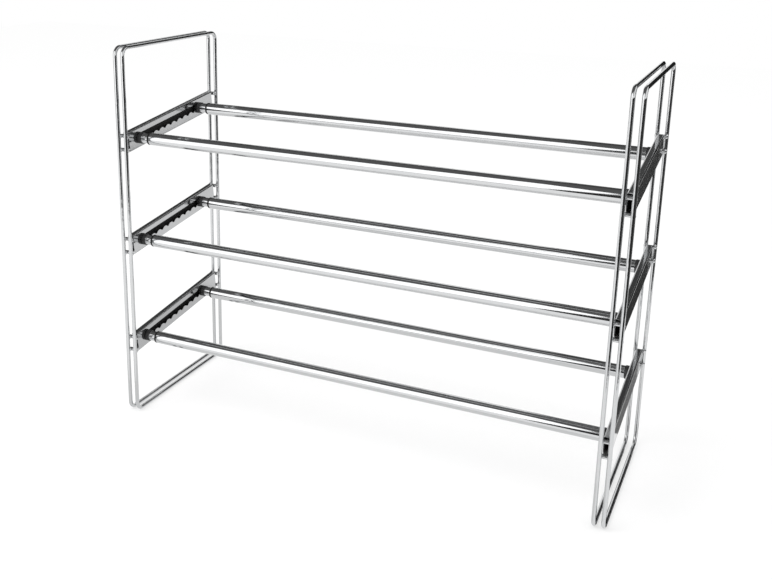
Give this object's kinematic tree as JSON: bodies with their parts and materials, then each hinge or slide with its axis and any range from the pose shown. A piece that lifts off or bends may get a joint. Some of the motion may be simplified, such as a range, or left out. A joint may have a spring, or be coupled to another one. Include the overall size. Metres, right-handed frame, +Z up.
{
  "type": "pull out shoe rack",
  "caption": "Free-standing shoe rack of chromed wire and tube, with sloping levels of telescopic rods seated in notched brackets, that pulls out wider.",
  "frame": {"origin": "on the floor, below the middle of the closed rack", "axes": "+X along the rods towards the end that pulls out, +Y to the back, where the levels are higher, +Z up"},
  "size_m": [0.64, 0.22, 0.495],
  "materials": {
    "wire": "bright chrome plated wire",
    "tube": "bright chrome plated tube",
    "bracket": "plated sheet, slightly dull",
    "plug": "fine moulded texture"
  },
  "bodies": {
    "left_end": {"left_outer_loop": "wire", "left_inner_loop": "wire", "left_bottom_front_upper_rung": "wire", "left_bottom_front_lower_rung": "wire", "left_bottom_back_upper_rung": "wire", "left_bottom_back_lower_rung": "wire", "left_middle_front_upper_rung": "wire", "left_middle_front_lower_rung": "wire", "left_middle_back_upper_rung": "wire", "left_middle_back_lower_rung": "wire", "left_top_front_upper_rung": "wire", "left_top_front_lower_rung": "wire", "left_top_back_upper_rung": "wire", "left_top_back_lower_rung": "wire", "left_bottom_bracket": "bracket", "left_middle_bracket": "bracket", "left_top_bracket": "bracket", "bottom_front_inner_tube": "tube", "bottom_back_inner_tube": "tube", "middle_front_inner_tube": "tube", "middle_back_inner_tube": "tube", "top_front_inner_tube": "tube", "top_back_inner_tube": "tube", "bottom_front_left_plug": "plug", "bottom_back_left_plug": "plug", "middle_front_left_plug": "plug", "middle_back_left_plug": "plug", "top_front_left_plug": "plug", "top_back_left_plug": "plug"},
    "right_end": {"right_inner_loop": "wire", "right_outer_loop": "wire", "right_bottom_front_upper_rung": "wire", "right_bottom_front_lower_rung": "wire", "right_bottom_back_upper_rung": "wire", "right_bottom_back_lower_rung": "wire", "right_middle_front_upper_rung": "wire", "right_middle_front_lower_rung": "wire", "right_middle_back_upper_rung": "wire", "right_middle_back_lower_rung": "wire", "right_top_front_upper_rung": "wire", "right_top_front_lower_rung": "wire", "right_top_back_upper_rung": "wire", "right_top_back_lower_rung": "wire", "right_bottom_bracket": "bracket", "right_middle_bracket": "bracket", "right_top_bracket": "bracket", "bottom_front_outer_tube": "tube", "bottom_back_outer_tube": "tube", "middle_front_outer_tube": "tube", "middle_back_outer_tube": "tube", "top_front_outer_tube": "tube", "top_back_outer_tube": "tube", "bottom_front_right_plug": "plug", "bottom_back_right_plug": "plug", "middle_front_right_plug": "plug", "middle_back_right_plug": "plug", "top_front_right_plug": "plug", "top_back_right_plug": "plug"}
  },
  "joints": [
    {"name": "pull_out", "type": "slide", "parent": "left_end", "child": "right_end", "axis": [1, 0, 0], "range_m": [0, 0.53]}
  ]
}
